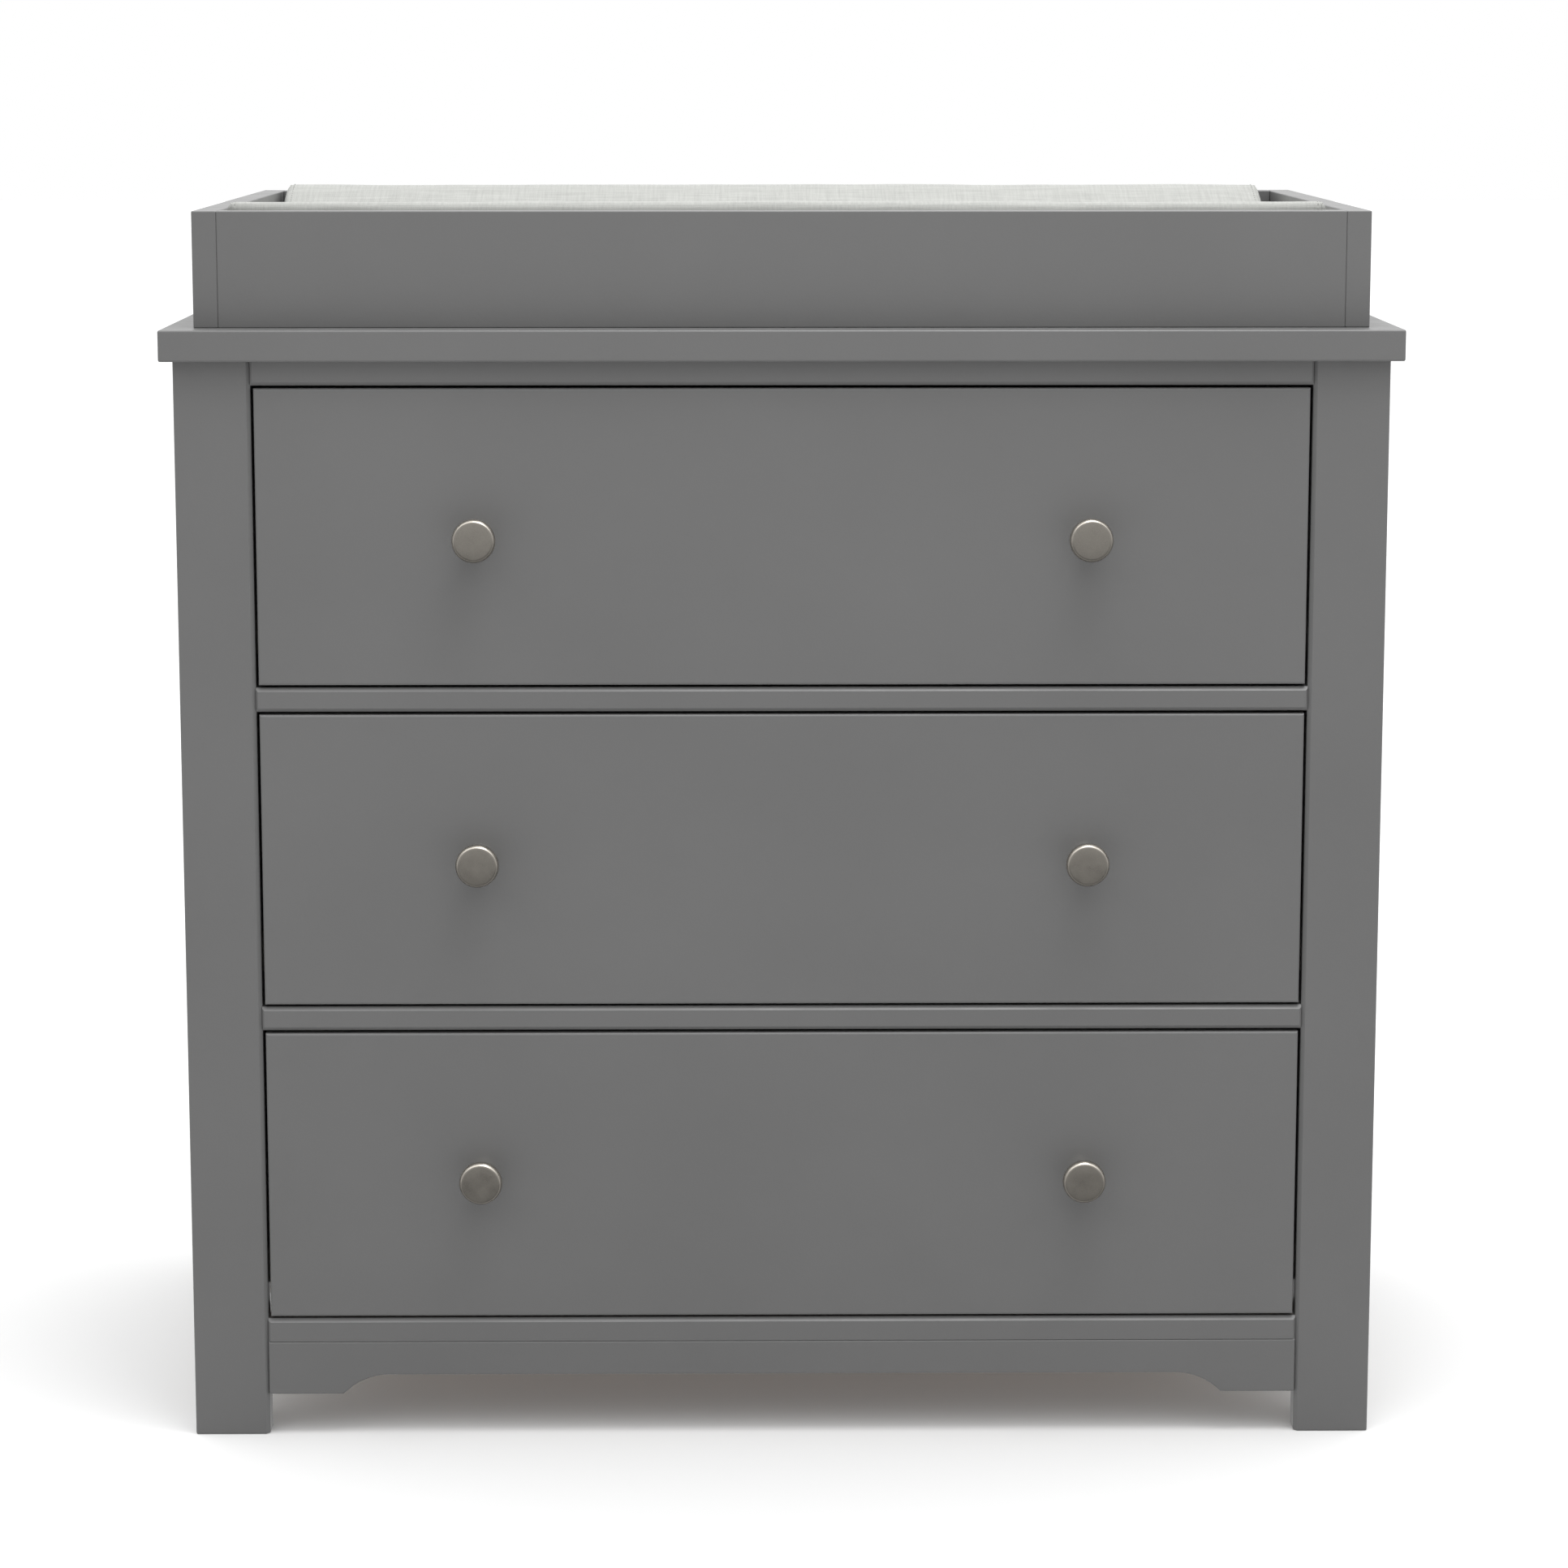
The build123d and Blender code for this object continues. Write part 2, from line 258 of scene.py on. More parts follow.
def hardboard(s):
    material, tree, shader = newMaterial("hardboard", IOR=1.45)
    point = objectPoint(tree)
    fibre = noiseOf(tree, point, s["fibreScale"], 6.0, 0.75)
    blotch = noiseOf(tree, point, s["blotchScale"])
    mixed = blendOf(tree, (fibre, 1 - s["blotch"]), (blotch, s["blotch"]))
    colour = ramp(tree, mixed, [(0.35, s["dark"]), (0.52, s["middle"]), (0.7, s["light"])])
    wire(tree, colour, shader.inputs["Base Color"])
    wire(tree, remap(tree, fibre, *s["roughness"]), shader.inputs["Roughness"])
    addBump(tree, shader, fibre, s["fibreHeight"], s["fibreStrength"])
    return material


# satin nickel: blasted with fine grit, so the gleam breaks into small specks
nickelSettings = {
    "colour": (0.50, 0.468, 0.418),
    "roughness": (0.26, 0.36),
    "variation": 0.08,
    "speckScale": 1500.0,
    "speckShare": 0.7,
    "speckHeight": 0.00003,
    "speckStrength": 0.6,
    "cloudScale": 130.0,
}


def satinNickel(s):
    material, tree, shader = newMaterial("satinNickel", Metallic=1.0)
    point = objectPoint(tree)
    specks = noiseOf(tree, point, s["speckScale"], 3.0, 0.6)
    clouds = noiseOf(tree, point, s["cloudScale"])
    mixed = blendOf(tree, (specks, s["speckShare"]), (clouds, 1 - s["speckShare"]))
    dark, light = shade(1 - s["variation"], s["colour"]), shade(1 + s["variation"], s["colour"])
    tint = ramp(tree, mixed, [(0.32, dark), (0.68, light)])
    wire(tree, tint, shader.inputs["Base Color"])
    wire(tree, remap(tree, clouds, *s["roughness"]), shader.inputs["Roughness"])
    addBump(tree, shader, specks, s["speckHeight"], s["speckStrength"])
    return material


# thin coats on steel: cream epoxy on the drawer runners, bright zinc on the bracket and the screws
epoxySettings = {
    "colour": (0.66, 0.64, 0.58),
    "metallic": 0.0,
    "roughness": (0.35, 0.51),
    "mottleScale": 90.0,
    "peelScale": 540.0,
    "peelHeight": 0.00004,
    "peelStrength": 0.5,
}
zincSettings = {
    "colour": (0.58, 0.59, 0.60),
    "metallic": 1.0,
    "roughness": (0.27, 0.43),
    "mottleScale": 140.0,
    "peelScale": 840.0,
    "peelHeight": 0.00004,
    "peelStrength": 0.5,
}


def coatedSteel(name, s):
    material, tree, shader = newMaterial(name, Metallic=s["metallic"], IOR=1.5)
    point = objectPoint(tree)
    mottle = noiseOf(tree, point, s["mottleScale"], 4.0, 0.6)
    tint = ramp(tree, mottle, [(0.35, shade(0.88, s["colour"])), (0.68, shade(1.06, s["colour"]))])
    wire(tree, tint, shader.inputs["Base Color"])
    wire(tree, remap(tree, mottle, *s["roughness"]), shader.inputs["Roughness"])
    peel = noiseOf(tree, point, s["peelScale"], 2.0)
    addBump(tree, shader, peel, s["peelHeight"], s["peelStrength"])
    return material


# moulded nylon rollers: milky white, with faint flow marks
nylonSettings = {
    "dark": (0.74, 0.73, 0.69),
    "light": (0.82, 0.81, 0.77),
    "roughness": (0.38, 0.5),
    "flowScale": 240.0,
    "flowHeight": 0.00005,
    "flowStrength": 0.4,
    "lightReach": (0.002, 0.002, 0.0015),  # how far light spreads inside, for red, green and blue
}


def mouldedNylon(s):
    material, tree, shader = newMaterial(
        "mouldedNylon", IOR=1.53, Subsurface_Weight=0.08, Subsurface_Radius=s["lightReach"])
    point = objectPoint(tree)
    flow = noiseOf(tree, point, s["flowScale"])
    tint = ramp(tree, flow, [(0.35, s["dark"]), (0.65, s["light"])])
    wire(tree, tint, shader.inputs["Base Color"])
    wire(tree, remap(tree, flow, *s["roughness"]), shader.inputs["Roughness"])
    addBump(tree, shader, flow, s["flowHeight"], s["flowStrength"])
    return material


# linen-look plain weave: two thread sets crossing, with thicker slubs here and there
weaveSettings = {
    "colour": (0.33, 0.334, 0.319),
    "roughness": 0.92,
    "sheen": 0.08,
    "threadPitch": 0.0011,
    "threadHeight": 0.00018,
    "threadStrength": 0.55,
    "driftScale": 55.0,  # the threads wander slowly off their line
    "drift": 0.0016,
    "slub": 0.13,  # how much lighter or darker a thick stretch of thread is
    "slubAcross": 520.0,
    "slubAlong": 26.0,
    "slubHeight": 0.9,
    "faceLimit": 0.72,  # a normal past this share of an axis counts as facing along it
}


# the two thread directions on the surface, picked by which way it faces
def flatCoordinates(tree, faceLimit):
    place = addNode(tree, "ShaderNodeTexCoord")
    split = addNode(tree, "ShaderNodeSeparateXYZ")
    wire(tree, place.outputs["Object"], split.inputs[0])
    normal = addNode(tree, "ShaderNodeSeparateXYZ")
    wire(tree, place.outputs["Normal"], normal.inputs[0])
    endFace = maths(tree, "GREATER_THAN", maths(tree, "ABSOLUTE", normal.outputs["X"]), faceLimit)
    longFace = maths(tree, "GREATER_THAN", maths(tree, "ABSOLUTE", normal.outputs["Y"]), faceLimit)

    def choose(flag, off, on):
        kept = maths(tree, "MULTIPLY", off, maths(tree, "SUBTRACT", 1.0, flag))
        return maths(tree, "ADD", kept, maths(tree, "MULTIPLY", on, flag))

    across = choose(endFace, split.outputs["X"], split.outputs["Z"])
    along = choose(longFace, split.outputs["Y"], split.outputs["Z"])
    return across, along


def linenWeave(s):
    material, tree, shader = newMaterial(
        "linenWeave", Roughness=s["roughness"], Sheen_Weight=s["sheen"], Sheen_Roughness=0.6, IOR=1.4)
    across, along = flatCoordinates(tree, s["faceLimit"])
    point = objectPoint(tree)
    drift = maths(tree, "MULTIPLY", noiseOf(tree, point, s["driftScale"], 2.0), s["drift"])
    perThread = 2 * math.pi / s["threadPitch"]

    def threads(coordinate, other, seed):
        wavy = maths(tree, "ADD", coordinate, drift)
        wave = maths(tree, "SINE", maths(tree, "MULTIPLY", wavy, perThread))
        combine = addNode(tree, "ShaderNodeCombineXYZ")
        wire(tree, maths(tree, "MULTIPLY", coordinate, s["slubAcross"]), combine.inputs[0])
        wire(tree, maths(tree, "MULTIPLY", other, s["slubAlong"]), combine.inputs[1])
        combine.inputs[2].default_value = seed
        slub = noiseOf(tree, combine.outputs[0], 1.0, 2.0, 0.6)
        return wave, slub

    warp, warpSlub = threads(across, along, 0.0)
    weft, weftSlub = threads(along, across, 7.3)
    crossing = maths(tree, "MULTIPLY", warp, weft)
    over = maths(tree, "MAXIMUM", maths(tree, "MULTIPLY", warp, 0.5), maths(tree, "MULTIPLY", weft, 0.5))
    height = maths(tree, "ADD", maths(tree, "MULTIPLY", crossing, 0.5), over)
    slubs = maths(tree, "ADD", warpSlub, weftSlub)
    height = maths(tree, "ADD", height, maths(tree, "MULTIPLY", slubs, s["slubHeight"]))
    tone = remap(tree, slubs, 1 - s["slub"], 1 + s["slub"], 0.65, 1.35)
    # painted shade: the cloth colour is darkened where the weave dips low between the raised threads
    paintedGapShade = remap(tree, crossing, 0.90, 1.02, -1.0, 0.4)
    tone = maths(tree, "MULTIPLY", tone, paintedGapShade)
    base = addNode(tree, "ShaderNodeMix", {"data_type": "RGBA", "blend_type": "MULTIPLY"})
    base.inputs[0].default_value = 1.0
    base.inputs[6].default_value = (*s["colour"], 1)
    wire(tree, tone, base.inputs[7])
    wire(tree, base.outputs[2], shader.inputs["Base Color"])
    addBump(tree, shader, height, s["threadHeight"], s["threadStrength"])
    return material


paint = satinPaint(paintSettings)
sideWood = paleWood("sideWood", woodSettings, 1)
backWood = paleWood("backWood", woodSettings, 0)
fibreBoard = hardboard(fibreSettings)
nickel = satinNickel(nickelSettings)
epoxySteel = coatedSteel("epoxySteel", epoxySettings)
zincPlate = coatedSteel("zincPlate", zincSettings)
nylon = mouldedNylon(nylonSettings)
linen = linenWeave(weaveSettings)

finishes = {
    "painted_board": paint,
    "hardboard": fibreBoard,
    "bare_wood": sideWood,
    "drawer_wood": sideWood,
    "runner_steel": epoxySteel,
    "roller_plastic": nylon,
    "zinc_steel": zincPlate,
    "knob_nickel": nickel,
    "pad_fabric": linen,
}


def finishFrame():
    for name, slot in slots.items():
        finish = backWood if name.endswith("drawer_back") else finishes[slot]
        nodes[name].data.materials.clear()
        nodes[name].data.materials.append(finish)


finishFrame()
print("finishes made:", len(bpy.data.materials))


# Geometry Nodes helpers
def newTree(name, inputs):
    tree = bpy.data.node_groups.new(name, "GeometryNodeTree")
    tree.interface.new_socket("Geometry", in_out="INPUT", socket_type="NodeSocketGeometry")
    for label, kind in inputs:
        tree.interface.new_socket(label, in_out="INPUT", socket_type="NodeSocket" + kind)
    tree.interface.new_socket("Geometry", in_out="OUTPUT", socket_type="NodeSocketGeometry")
    return tree, addNode(tree, "NodeGroupInput"), addNode(tree, "NodeGroupOutput")


def finishTree(tree, geometry, material, exitNode):
    realize = addNode(tree, "GeometryNodeRealizeInstances")
    wire(tree, geometry, realize.inputs[0])
    paintIt = addNode(tree, "GeometryNodeSetMaterial")
    paintIt.inputs["Material"].default_value = material
    wire(tree, realize.outputs[0], paintIt.inputs["Geometry"])
    wire(tree, paintIt.outputs[0], exitNode.inputs[0])


# runs the tree on the source object and leaves a plain mesh object in its place
def runTree(name, source, tree, values):
    modifier = source.modifiers.new(tree.name, "NODES")
    modifier.node_group = tree
    for item in tree.interface.items_tree:
        if item.item_type == "SOCKET" and item.in_out == "INPUT" and item.name in values:
            modifier[item.identifier] = values[item.name]
    bpy.context.view_layer.update()
    evaluated = source.evaluated_get(bpy.context.evaluated_depsgraph_get())
    mesh = bpy.data.meshes.new_from_object(evaluated)
    mesh.name = name
    source.modifiers.clear()
    bpy.data.objects.remove(source)
    return linkMesh(name, mesh)


def linkMesh(name, mesh):
    piece = bpy.data.objects.new(name, mesh)
    bpy.context.scene.collection.objects.link(piece)
    return piece


def pointObject(name, points):
    mesh = bpy.data.meshes.new(name)
    mesh.from_pydata([tuple(p) for p in points], [], [])
    return linkMesh(name, mesh)


# knobs: one turned shape, set on each drawer front by Geometry Nodes
knobShape = {
    "outline": [  # radius and reach in mm, from the middle of the face to the foot of the stem
        (0.0, 25.0), (7.0, 24.97), (13.0, 24.87), (14.0, 24.8), (14.25, 24.7), (14.55, 24.45), (15.2, 23.7),
        (15.7, 22.8), (15.95, 21.9), (16.0, 21.0), (16.0, 19.6), (15.8, 18.6), (15.0, 17.7), (12.6, 16.2),
        (10.2, 14.0), (8.4, 11.0), (7.5, 7.6), (7.3, 4.2), (7.4, 2.0), (7.8, 0.9), (7.9, 0.05)],
    "steps": 96,
}


def turnedKnob(s):
    shape = bmesh.new()
    rim = [shape.verts.new((radius / 1000, -reach / 1000, 0)) for radius, reach in s["outline"]]
    edges = [shape.edges.new(pair) for pair in zip(rim, rim[1:])]
    bmesh.ops.spin(shape, geom=rim + edges, cent=(0, 0, 0), axis=(0, 1, 0),
                   angle=2 * math.pi, steps=s["steps"])
    return smoothShape("turnedKnob", shape)


def smoothShape(name, shape):
    bmesh.ops.remove_doubles(shape, verts=shape.verts, dist=1e-6)
    bmesh.ops.recalc_face_normals(shape, faces=shape.faces)
    mesh = bpy.data.meshes.new(name)
    shape.to_mesh(mesh)
    shape.free()
    mesh.polygons.foreach_set("use_smooth", [True] * len(mesh.polygons))
    return linkMesh(name, mesh)


# one shape on every point, each turned about its own axis by a different amount
def instanceTree(name, material):
    tree, enter, leave = newTree(name, [("Shape", "Object"), ("Most Turn", "Float"), ("Seed", "Int")])
    shape = addNode(tree, "GeometryNodeObjectInfo")
    wire(tree, enter.outputs["Shape"], shape.inputs["Object"])
    turn = addNode(tree, "FunctionNodeRandomValue", {"data_type": "FLOAT"})
    floatMax = [socket for socket in turn.inputs if socket.name == "Max" and socket.type == "VALUE"][0]
    wire(tree, enter.outputs["Most Turn"], floatMax)
    wire(tree, enter.outputs["Seed"], turn.inputs["Seed"])
    aboutY = addNode(tree, "ShaderNodeCombineXYZ")
    wire(tree, [socket for socket in turn.outputs if socket.type == "VALUE"][0], aboutY.inputs["Y"])
    place = addNode(tree, "GeometryNodeInstanceOnPoints")
    wire(tree, enter.outputs["Geometry"], place.inputs["Points"])
    wire(tree, shape.outputs["Geometry"], place.inputs["Instance"])
    wire(tree, aboutY.outputs[0], place.inputs["Rotation"])
    finishTree(tree, place.outputs[0], material, leave)
    return tree


# puts a shape where the two round pieces of a node stand, with its foot at depth y
def pairInPlaceOf(node, body, y, name, shape, tree, mostTurn, seed):
    low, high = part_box(node)
    radius, z = (high.z - low.z) / 2, (low.z + high.z) / 2
    spots = pointObject("spots", [(low.x + radius, y, z), (high.x - radius, y, z)])
    pair = runTree(name, spots, tree, {"Shape": shape, "Most Turn": mostTurn, "Seed": seed})
    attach(pair, body)
    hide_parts(node)


def makeKnobs():
    shape = turnedKnob(knobShape)
    tree = instanceTree("knobsOnFront", nickel)
    for seed, drawer in enumerate(drawers):
        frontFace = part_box(f"{drawer}_drawer_front")[0].y
        pairInPlaceOf(f"{drawer}_drawer_knobs", f"{drawer}_drawer", frontFace, f"{drawer}TurnedKnobs",
                      shape, tree, math.pi, seed)
    bpy.data.objects.remove(shape)


makeKnobs()
print("knobs turned")


# pan-head screws with a cross recess: behind the knobs and in the wall bracket
screwShape = {
    "radius": 0.0039,
    "height": 0.0024,
    "rings": 26,
    "steps": 72,
    "armLength": 0.0021,
    "armHalfWidth": 0.0005,
    "recess": 0.0014,
    "wallSlope": 0.0003,
    "domeDrop": 0.92,  # how far the head's edge falls away from its middle
    "bracketStandOff": 0.0025,  # from the bracket's face to the front of its screws
}


def panHead(s):
    shape = bmesh.new()
    rows = []
    for ring in range(s["rings"] + 1):
        share = ring / s["rings"]
        dome = s["height"] * math.sqrt(1 - s["domeDrop"] * share ** 4)
        row = []
        for step in range(s["steps"]):
            angle = 2 * math.pi * step / s["steps"]
            x, z = s["radius"] * share * math.cos(angle), s["radius"] * share * math.sin(angle)
            across, along = sorted((abs(x), abs(z)))
            inWidth = min(max((s["armHalfWidth"] - across) / s["wallSlope"] + 0.5, 0), 1)
            inLength = min(max((s["armLength"] - along) / s["wallSlope"] + 0.5, 0), 1)
            row.append(shape.verts.new((x, dome - s["recess"] * inWidth * inLength, z)))
        rows.append(row)
    rows.append([shape.verts.new((v.co.x, 0, v.co.z)) for v in rows[-1]])
    for inner, outer in zip(rows, rows[1:]):
        for step in range(s["steps"]):
            after = (step + 1) % s["steps"]
            shape.faces.new([inner[step], inner[after], outer[after], outer[step]])
    return smoothShape("panHead", shape)


def makeScrews():
    shape = panHead(screwShape)
    tree = instanceTree("screwsInPlace", zincPlate)
    for seed, drawer in enumerate(drawers):
        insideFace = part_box(f"{drawer}_drawer_front")[1].y
        pairInPlaceOf(f"{drawer}_drawer_knob_screws", f"{drawer}_drawer", insideFace,
                      f"{drawer}KnobScrewHeads", shape, tree, math.pi / 2, seed + 11)
    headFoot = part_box("wall_bracket_screws")[1].y - screwShape["bracketStandOff"]
    pairInPlaceOf("wall_bracket_screws", "carcass", headFoot, "bracketScrewHeads", shape, tree,
                  math.pi / 2, 23)
    bpy.data.objects.remove(shape)


makeScrews()
print("screw heads made")


# pad: foam with raised long edges in a linen cover, which a cloth simulation swells a little
padShape = {
    "inset": 0.0025,  # room at the sides for the cover to swell
    "edgeRadius": 0.0065,
    "ridge": 0.009,
    "slopeRun": 0.097,
    "valley": 0.050,
    "footRadius": 0.030,
    "crest": 0.006,  # the top of the slope rounds into the ridge over this length
    "cell": 0.0075,
    "softness": 0.0005,
    "fill": 0.85,
}
coverCloth = {
    "mass": 0.3,
    "stretch": 12,
    "bend": 0.6,
    "pressure": 0.15,
    "frames": 20,
    "mostSwell": 0.0024,
}


# height of the pad's upper face at a distance y from its middle line
def padTop(y, half, height, s):
    foot = half - s["ridge"] - s["slopeRun"]
    rise = height - s["valley"]
    slope = rise / s["slopeRun"]
    outside = abs(y) - foot
    blend = s["footRadius"]
    if outside <= -blend:
        climb = 0
    elif outside < blend:
        climb = slope * (outside + blend) ** 2 / (4 * blend)
    else:
        climb = slope * outside
    crest = s["crest"] * slope
    over = climb - (rise - crest)
    if over > 0:
        climb = rise - crest + crest * (1 - math.exp(-over / crest))
    return s["valley"] + climb


# even steps, with finer ones inside the rounded edge at each end
def gridValues(low, high, cell, edge):
    start = [low + edge * t for t in (0, 0.12, 0.4, 0.7)]
    end = [high - edge * t for t in (0.7, 0.4, 0.12, 0)]
    count = max(2, round((high - low - 2 * edge) / cell))
    middle = [low + edge + (high - low - 2 * edge) * i / count for i in range(count + 1)]
    return start + middle + end


def roundCorner(point, low, high, radius):
    inner = Vector(min(max(p, a + radius), b - radius) for p, a, b in zip(point, low, high))
    away = point - inner
    return inner + away.normalized() * radius if away.length > 1e-9 else point


def padShell(s):
    low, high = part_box("changing_pad")
    inset, radius = s["inset"], s["edgeRadius"]
    low, high = low + Vector((inset, inset, 0.0002)), high - Vector((inset, inset, 0))
    height, half, middle = high.z - low.z, (high.y - low.y) / 2, (low.y + high.y) / 2
    xs = gridValues(low.x, high.x, s["cell"], radius)
    ys = gridValues(-half, half, s["cell"], radius)
    zs = gridValues(0, height, s["cell"], radius)
    boxLow, boxHigh = Vector((low.x, -half, 0)), Vector((high.x, half, height))
    shape = bmesh.new()
    made = {}

    def vertexAt(i, j, k):
        if (i, j, k) not in made:
            p = roundCorner(Vector((xs[i], ys[j], zs[k])), boxLow, boxHigh, radius)
            top = padTop(p.y, half, height, s)
            lift = min(max((p.z - radius) / (height - 2 * radius), 0), 1)
            z = p.z - lift * (height - top)
            made[i, j, k] = shape.verts.new((p.x, p.y + middle, z + low.z))
        return made[i, j, k]

    def addFace(*corners):
        shape.faces.new([vertexAt(*corner) for corner in corners])

    lastX, lastY, lastZ = len(xs) - 1, len(ys) - 1, len(zs) - 1
    for i in range(lastX):
        for j in range(lastY):
            for k in (0, lastZ):
                addFace((i, j, k), (i + 1, j, k), (i + 1, j + 1, k), (i, j + 1, k))
        for k in range(lastZ):
            for j in (0, lastY):
                addFace((i, j, k), (i + 1, j, k), (i + 1, j, k + 1), (i, j, k + 1))
    for j in range(lastY):
        for k in range(lastZ):
            for i in (0, lastX):
                addFace((i, j, k), (i, j + 1, k), (i, j + 1, k + 1), (i, j, k + 1))
    bmesh.ops.recalc_face_normals(shape, faces=shape.faces)
    mesh = bpy.data.meshes.new("padCover")
    shape.verts.index_update()
    across = [(j, lastZ) for j in range(lastY)] + [(lastY, k) for k in range(lastZ, 0, -1)]
    back = [(j, 0) for j in range(lastY, 0, -1)] + [(0, k) for k in range(lastZ)]
    columns = {"leftSeam": 2, "leftStitches": 4, "rightSeam": lastX - 2, "rightStitches": lastX - 4}
    rings = {name: [made[i, j, k].index for j, k in across + back] for name, i in columns.items()}
    shape.to_mesh(mesh)
    shape.free()
    return linkMesh("padCover", mesh), rings


def inflate(pad, s):
    rest = [v.co.copy() for v in pad.data.vertices]
    group = pad.vertex_groups.new(name="resting")
    floor = min(p.z for p in rest)
    group.add([i for i, p in enumerate(rest) if p.z < floor + 0.001], 1.0, "REPLACE")
    cloth = pad.modifiers.new("inflate", "CLOTH")
    cloth.settings.quality = 5
    cloth.settings.mass = s["mass"]
    cloth.settings.tension_stiffness = s["stretch"]
    cloth.settings.compression_stiffness = s["stretch"]
    cloth.settings.bending_stiffness = s["bend"]
    cloth.settings.use_pressure = True
    cloth.settings.uniform_pressure_force = s["pressure"]
    cloth.settings.effector_weights.gravity = 0
    cloth.settings.vertex_group_mass = "resting"
    cloth.collision_settings.use_collision = False
    scene = bpy.context.scene
    for step in range(1, s["frames"] + 1):
        scene.frame_set(step)
    evaluated = pad.evaluated_get(bpy.context.evaluated_depsgraph_get())
    moved = [v.co.copy() for v in evaluated.data.vertices]
    pad.modifiers.clear()
    scene.frame_set(1)
    furthest = 0
    for vertex, start, end in zip(pad.data.vertices, rest, moved):
        shift = end - start
        furthest = max(furthest, shift.length)
        if shift.length > s["mostSwell"]:
            shift = shift.normalized() * s["mostSwell"]
        vertex.co = start + shift
    print(f"pad inflated, furthest point would move {1000 * furthest:.1f} mm")


# low, uneven swells of the cloth over the foam
def softenCover(pad, s):
    low = min(v.co.z for v in pad.data.vertices)
    for vertex in pad.data.vertices:
        if vertex.co.z < low + 0.002:
            continue
        swell = noise.noise(vertex.co * 14.0) + 0.5 * noise.noise(vertex.co * 41.0)
        vertex.co += vertex.normal * swell * s["softness"]


def finishPad(pad):
    subdivision = pad.modifiers.new("round", "SUBSURF")
    subdivision.levels = subdivision.render_levels = 1
    bpy.context.view_layer.update()
    mesh = bpy.data.meshes.new_from_object(pad.evaluated_get(bpy.context.evaluated_depsgraph_get()))
    name = pad.name
    bpy.data.objects.remove(pad)
    mesh.polygons.foreach_set("use_smooth", [True] * len(mesh.polygons))
    mesh.materials.clear()
    mesh.materials.append(linen)
    return linkMesh(name, mesh)


def makePad():
    pad, rings = padShell(padShape)
    inflate(pad, coverCloth)
    softenCover(pad, padShape)
    seams = {name: [pad.data.vertices[i].co.copy() for i in ring] for name, ring in rings.items()}
    pad = finishPad(pad)
    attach(pad, "pad")
    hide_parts("changing_pad")
    return seams


seamPaths = makePad()
print("pad made")


# round each end of the cover: a fine felled seam, and a row of stitches beside it
seamSettings = {
    "ridgeRadius": 0.0006,
    "stitchLength": 0.0026,
    "stitchPitch": 0.0042,
    "threadRadius": 0.0004,
}


def seamTree():
    tree, enter, leave = newTree("padSeam", [("Ridge Radius", "Float")])
    curve = addNode(tree, "GeometryNodeMeshToCurve")
    wire(tree, enter.outputs["Geometry"], curve.inputs[0])
    ridge = addNode(tree, "GeometryNodeCurvePrimitiveCircle", inputs={"Resolution": 6})
    wire(tree, enter.outputs["Ridge Radius"], ridge.inputs["Radius"])
    sweep = addNode(tree, "GeometryNodeCurveToMesh")
    wire(tree, curve.outputs[0], sweep.inputs["Curve"])
    wire(tree, ridge.outputs["Curve"], sweep.inputs["Profile Curve"])
    finishTree(tree, sweep.outputs[0], linen, leave)
    return tree


def stitchTree():
    tree, enter, leave = newTree("padStitches", [
        ("Stitch Length", "Float"), ("Stitch Pitch", "Float"), ("Thread Radius", "Float")])
    curve = addNode(tree, "GeometryNodeMeshToCurve")
    wire(tree, enter.outputs["Geometry"], curve.inputs[0])
    points = addNode(tree, "GeometryNodeCurveToPoints", {"mode": "LENGTH"})
    wire(tree, curve.outputs[0], points.inputs["Curve"])
    wire(tree, enter.outputs["Stitch Pitch"], points.inputs["Length"])
    thread = addNode(tree, "GeometryNodeMeshUVSphere", inputs={"Segments": 8, "Rings": 5, "Radius": 1.0})
    half = maths(tree, "MULTIPLY", enter.outputs["Stitch Length"], 0.5)
    size = addNode(tree, "ShaderNodeCombineXYZ")
    wire(tree, enter.outputs["Thread Radius"], size.inputs[0])
    wire(tree, enter.outputs["Thread Radius"], size.inputs[1])
    wire(tree, half, size.inputs[2])
    place = addNode(tree, "GeometryNodeInstanceOnPoints")
    wire(tree, points.outputs["Points"], place.inputs["Points"])
    wire(tree, thread.outputs["Mesh"], place.inputs["Instance"])
    wire(tree, points.outputs["Rotation"], place.inputs["Rotation"])
    wire(tree, size.outputs[0], place.inputs["Scale"])
    finishTree(tree, place.outputs[0], linen, leave)
    return tree


def makeSeams(paths, s):
    seams, stitches = seamTree(), stitchTree()
    for name, path in paths.items():
        mesh = bpy.data.meshes.new("seamPath")
        mesh.from_pydata([tuple(p) for p in path], [(i, (i + 1) % len(path)) for i in range(len(path))], [])
        tree = seams if name.endswith("Seam") else stitches
        piece = runTree(f"{name}OfPad", linkMesh("seamPath", mesh), tree, {
            "Ridge Radius": s["ridgeRadius"], "Stitch Length": s["stitchLength"],
            "Stitch Pitch": s["stitchPitch"], "Thread Radius": s["threadRadius"]})
        piece.data.polygons.foreach_set("use_smooth", [True] * len(piece.data.polygons))
        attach(piece, "pad")


makeSeams(seamPaths, seamSettings)
print("pad seams sewn")


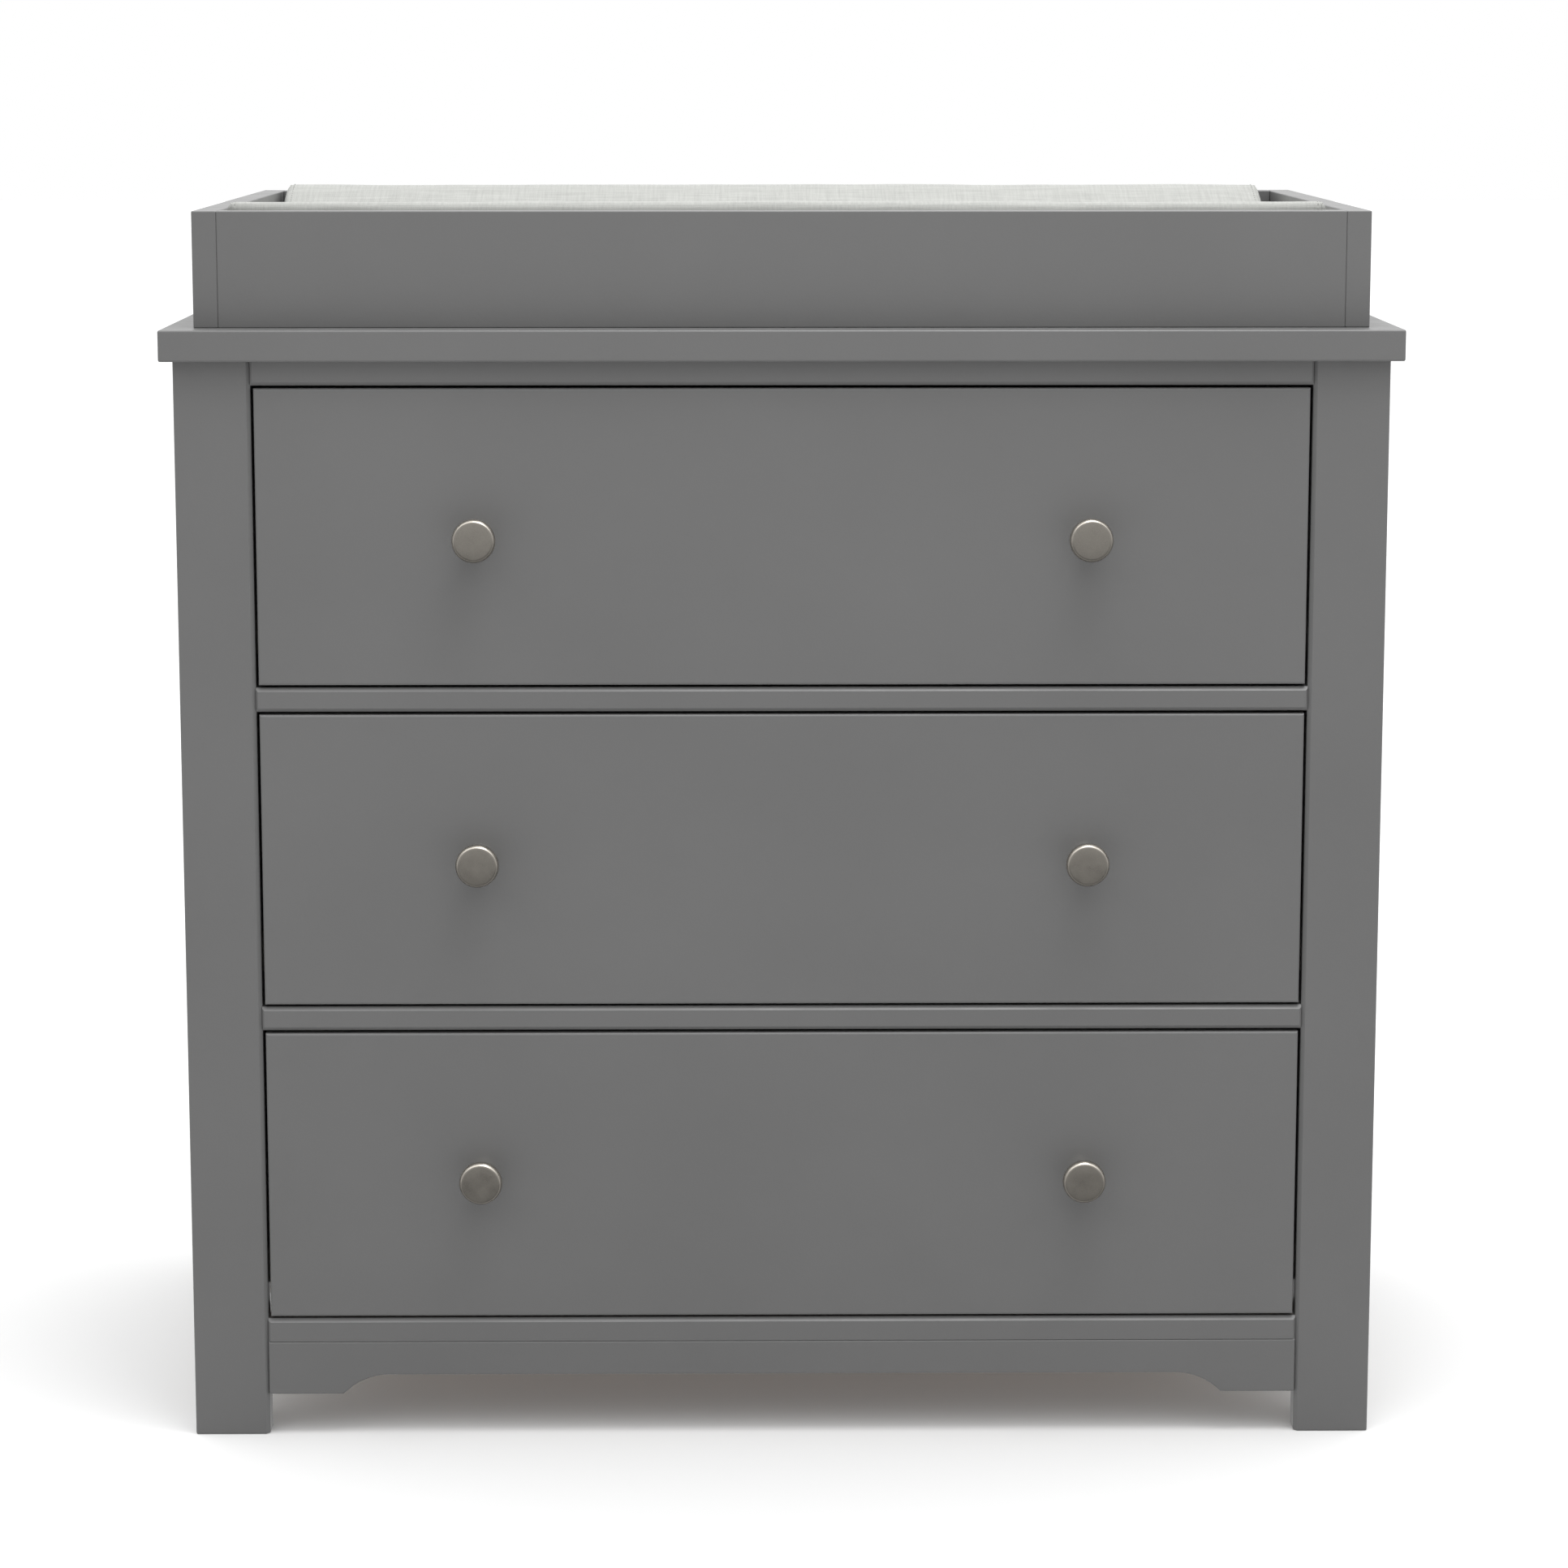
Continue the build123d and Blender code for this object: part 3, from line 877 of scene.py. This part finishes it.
# studio: white floor and surroundings with a bright ceiling, and one soft light for the shadows
studioSettings = {
    "floorSize": 50.0,
    "floorColour": (0.66, 0.66, 0.66),
    "floorGlow": 0.09,
    "surroundings": {
        "inFront": 0.50,
        "behind": 1.0,
        "turnsBehind": (-0.55, 0.15),  # where it changes, from straight in front, -1, to behind, 1
        "overhead": 1.2,  # added to the level above
        "turnsOverhead": (0.35, 0.7),  # the same from straight down, -1, to straight up, 1
        "below": -0.33,
        "turnsBelow": (-0.25, -0.1),
    },
    "softLight": {"power": 22.0, "width": 1.1, "depth": 0.8, "place": (0.35, -0.7, 2.6), "aim": (0, 0, 0.5)},
}


def makeFloor(s):
    half = s["floorSize"] / 2
    mesh = bpy.data.meshes.new("studioFloor")
    corners = [(-half, -half, 0), (half, -half, 0), (half, half, 0), (-half, half, 0)]
    mesh.from_pydata(corners, [], [(0, 1, 2, 3)])
    floor = linkMesh("studioFloor", mesh)
    material, tree, shader = newMaterial("studioFloor", Roughness=0.9, Specular_IOR_Level=0.2)
    shader.inputs["Base Color"].default_value = (*s["floorColour"], 1)
    shader.inputs["Emission Color"].default_value = (1, 1, 1, 1)
    shader.inputs["Emission Strength"].default_value = s["floorGlow"]
    mesh.materials.append(material)
    floor.visible_glossy = False  # the knobs mirror the dim room instead


# white behind the table, dimmer in front of it so that the knobs keep some depth, bright overhead;
# the camera itself sees plain white
def makeSurroundings(s):
    world = bpy.data.worlds.new("studio")
    world.use_nodes = True
    bpy.context.scene.world = world
    tree = world.node_tree
    background = tree.nodes["Background"]
    background.inputs["Color"].default_value = (1, 1, 1, 1)
    direction = addNode(tree, "ShaderNodeTexCoord")
    split = addNode(tree, "ShaderNodeSeparateXYZ")
    wire(tree, direction.outputs["Generated"], split.inputs[0])
    level = remap(tree, split.outputs["Y"], s["inFront"], s["behind"], *s["turnsBehind"])
    ceiling = remap(tree, split.outputs["Z"], 0.0, s["overhead"], *s["turnsOverhead"])
    under = remap(tree, split.outputs["Z"], s["below"], 0.0, *s["turnsBelow"])
    strength = maths(tree, "ADD", maths(tree, "ADD", level, ceiling), under)
    wire(tree, strength, background.inputs["Strength"])
    backdrop = addNode(tree, "ShaderNodeBackground", inputs={"Color": (1, 1, 1, 1), "Strength": 1.0})
    path = addNode(tree, "ShaderNodeLightPath")
    mix = addNode(tree, "ShaderNodeMixShader")
    wire(tree, path.outputs["Is Camera Ray"], mix.inputs[0])
    wire(tree, background.outputs[0], mix.inputs[1])
    wire(tree, backdrop.outputs[0], mix.inputs[2])
    wire(tree, mix.outputs[0], tree.nodes["World Output"].inputs["Surface"])


def makeSoftLight(name, s):
    data = bpy.data.lights.new(name, "AREA")
    data.shape = "RECTANGLE"
    data.size, data.size_y = s["width"], s["depth"]
    data.energy = s["power"]
    light = bpy.data.objects.new(name, data)
    light.location = s["place"]
    light.rotation_euler = (Vector(s["aim"]) - Vector(s["place"])).to_track_quat("-Z", "Y").to_euler()
    bpy.context.scene.collection.objects.link(light)


makeFloor(studioSettings)
makeSurroundings(studioSettings["surroundings"])
makeSoftLight("softLight", studioSettings["softLight"])
bpy.context.scene.view_settings.view_transform = "Standard"
print("studio ready")
